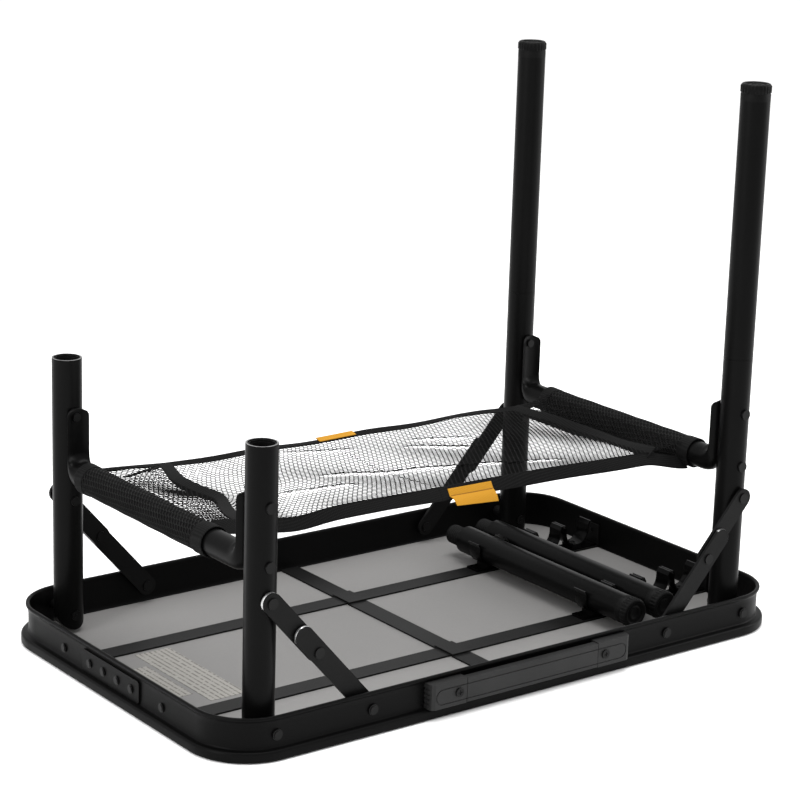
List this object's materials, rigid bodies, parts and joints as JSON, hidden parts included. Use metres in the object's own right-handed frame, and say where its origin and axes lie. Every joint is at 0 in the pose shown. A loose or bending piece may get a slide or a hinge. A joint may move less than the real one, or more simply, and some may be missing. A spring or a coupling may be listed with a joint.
{
  "type": "folding table",
  "caption": "Small folding table, face down, with two folding leg frames, locking braces, screw-in leg extensions and a mesh shelf.",
  "frame": {"origin": "centre of the tabletop's working face, which lies face down at z = 0", "axes": "+X along the length towards the legs with fitted extensions, +Y away from the carry handle, +Z from the working face to the feet"},
  "size_m": [0.582, 0.3552, 0.473],
  "materials": {
    "panel_board": "matte laminated board",
    "black_aluminium": "satin black anodised",
    "black_screw": "satin black",
    "rib_metal": "satin dark grey",
    "rivet_metal": "satin black",
    "brace_steel": "satin black",
    "clip_steel": "satin black",
    "black_plastic": "matte",
    "foot_plastic": "matte",
    "stud_plastic": "matte",
    "label_paper": "matte printed film",
    "mesh_cloth": "knitted mesh",
    "tag_fabric": "woven ribbon"
  },
  "bodies": {
    "table_top": {"top_panel": "panel_board", "rim_frame": "black_aluminium", "splice_plate": "black_aluminium", "side_rivets": "rivet_metal", "rim_rivets": "rivet_metal", "pivot_spacers": "black_plastic", "rib_long_front": "rib_metal", "rib_long_back": "rib_metal", "rib_cross": "rib_metal", "clip_strip_front": "clip_steel", "clip_strip_back": "clip_steel", "clip_rivets": "rivet_metal", "handle_end_left": "black_plastic", "handle_end_right": "black_plastic", "handle_strap": "black_plastic", "handle_screws": "black_screw", "labels": "label_paper"},
    "leg_frame_left": {"leg_lf": "black_aluminium", "leg_lb": "black_aluminium", "crossbar_left": "black_aluminium", "leg_screws_left": "black_screw", "brace_pins_left": "rivet_metal", "sockets_left": "black_plastic", "pivot_plugs_left": "black_plastic", "sleeve_left": "mesh_cloth"},
    "leg_frame_right": {"leg_rf": "black_aluminium", "leg_rb": "black_aluminium", "crossbar_right": "black_aluminium", "leg_screws_right": "black_screw", "brace_pins_right": "rivet_metal", "sockets_right": "black_plastic", "pivot_plugs_right": "black_plastic", "sleeve_right": "mesh_cloth"},
    "extension_rf": {"ext_rf_tube": "black_aluminium", "ext_rf_stud": "stud_plastic", "ext_rf_foot": "foot_plastic"},
    "extension_rb": {"ext_rb_tube": "black_aluminium", "ext_rb_stud": "stud_plastic", "ext_rb_foot": "foot_plastic"},
    "extension_s1": {"ext_s1_tube": "black_aluminium", "ext_s1_stud": "stud_plastic", "ext_s1_foot": "foot_plastic"},
    "extension_s2": {"ext_s2_tube": "black_aluminium", "ext_s2_stud": "stud_plastic", "ext_s2_foot": "foot_plastic"},
    "upper_link_lf": {"brace_lf_upper": "brace_steel"},
    "lower_link_lf": {"brace_lf_lower": "brace_steel", "brace_lf_rivet": "rivet_metal"},
    "upper_link_lb": {"brace_lb_upper": "brace_steel"},
    "lower_link_lb": {"brace_lb_lower": "brace_steel", "brace_lb_rivet": "rivet_metal"},
    "upper_link_rf": {"brace_rf_upper": "brace_steel"},
    "lower_link_rf": {"brace_rf_lower": "brace_steel", "brace_rf_rivet": "rivet_metal"},
    "upper_link_rb": {"brace_rb_upper": "brace_steel"},
    "lower_link_rb": {"brace_rb_lower": "brace_steel", "brace_rb_rivet": "rivet_metal"},
    "shelf_left": {"net_left": "mesh_cloth"},
    "shelf_right": {"net_right": "mesh_cloth", "tags": "tag_fabric"}
  },
  "joints": [
    {"name": "fold", "type": "hinge", "parent": "table_top", "child": "leg_frame_left", "pos_m": [-0.242, 0, 0.019], "axis": [0, 1, 0], "range_deg": [0, 90], "deforming": ["net_left", "net_right", "tags"]},
    {"name": "right_fold", "type": "hinge", "parent": "table_top", "child": "leg_frame_right", "pos_m": [0.242, 0, 0.019], "axis": [0, -1, 0], "range_deg": [0, 84.01]},
    {"name": "shelf_left_level", "type": "hinge", "parent": "leg_frame_left", "child": "shelf_left", "pos_m": [-0.242, 0, 0.145], "axis": [0, -1, 0], "range_deg": [0, 90.01]},
    {"name": "shelf_right_level", "type": "hinge", "parent": "leg_frame_right", "child": "shelf_right", "pos_m": [0.242, 0, 0.145], "axis": [0, 1, 0], "range_deg": [0, 78.51]},
    {"name": "lower_link_lf_turn", "type": "hinge", "parent": "table_top", "child": "lower_link_lf", "pos_m": [-0.153, -0.16345, 0.019], "axis": [0, 1, 0], "range_deg": [0, 131.41]},
    {"name": "upper_link_lf_turn", "type": "hinge", "parent": "leg_frame_left", "child": "upper_link_lf", "pos_m": [-0.242, -0.15945, 0.12], "axis": [0, -1, 0], "range_deg": [0, 138.63]},
    {"name": "lower_link_lb_turn", "type": "hinge", "parent": "table_top", "child": "lower_link_lb", "pos_m": [-0.153, 0.16345, 0.019], "axis": [0, 1, 0], "range_deg": [0, 131.41]},
    {"name": "upper_link_lb_turn", "type": "hinge", "parent": "leg_frame_left", "child": "upper_link_lb", "pos_m": [-0.242, 0.15945, 0.12], "axis": [0, -1, 0], "range_deg": [0, 138.63]},
    {"name": "lower_link_rf_turn", "type": "hinge", "parent": "table_top", "child": "lower_link_rf", "pos_m": [0.153, -0.16345, 0.019], "axis": [0, -1, 0], "range_deg": [0, 124.26]},
    {"name": "upper_link_rf_turn", "type": "hinge", "parent": "leg_frame_right", "child": "upper_link_rf", "pos_m": [0.242, -0.15945, 0.12], "axis": [0, 1, 0], "range_deg": [0, 131.29]},
    {"name": "lower_link_rb_turn", "type": "hinge", "parent": "table_top", "child": "lower_link_rb", "pos_m": [0.153, 0.16345, 0.019], "axis": [0, -1, 0], "range_deg": [0, 124.26]},
    {"name": "upper_link_rb_turn", "type": "hinge", "parent": "leg_frame_right", "child": "upper_link_rb", "pos_m": [0.242, 0.15945, 0.12], "axis": [0, 1, 0], "range_deg": [0, 131.29]},
    {"name": "extension_rf_out", "type": "slide", "parent": "leg_frame_right", "child": "extension_rf", "axis": [0, 0, 1], "range_m": [0, 0.04]},
    {"name": "extension_rb_out", "type": "slide", "parent": "leg_frame_right", "child": "extension_rb", "axis": [0, 0, 1], "range_m": [0, 0.04]},
    {"name": "extension_s1_lift", "type": "slide", "parent": "table_top", "child": "extension_s1", "axis": [0, 0, 1], "range_m": [0, 0.045]},
    {"name": "extension_s2_lift", "type": "slide", "parent": "table_top", "child": "extension_s2", "axis": [0, 0, 1], "range_m": [0, 0.045]}
  ],
  "couplings": [
    {"joint": "right_fold", "follows": "fold", "ratio": 0.93333},
    {"joint": "shelf_left_level", "follows": "fold", "ratio": 1},
    {"joint": "shelf_right_level", "follows": "fold", "ratio": 0.87222},
    {"joint": "lower_link_lf_turn", "follows": "fold", "ratio": 1.4598},
    {"joint": "upper_link_lf_turn", "follows": "fold", "ratio": 1.5402},
    {"joint": "lower_link_lb_turn", "follows": "fold", "ratio": 1.4598},
    {"joint": "upper_link_lb_turn", "follows": "fold", "ratio": 1.5402},
    {"joint": "lower_link_rf_turn", "follows": "fold", "ratio": 1.3804},
    {"joint": "upper_link_rf_turn", "follows": "fold", "ratio": 1.4586},
    {"joint": "lower_link_rb_turn", "follows": "fold", "ratio": 1.3804},
    {"joint": "upper_link_rb_turn", "follows": "fold", "ratio": 1.4586}
  ]
}
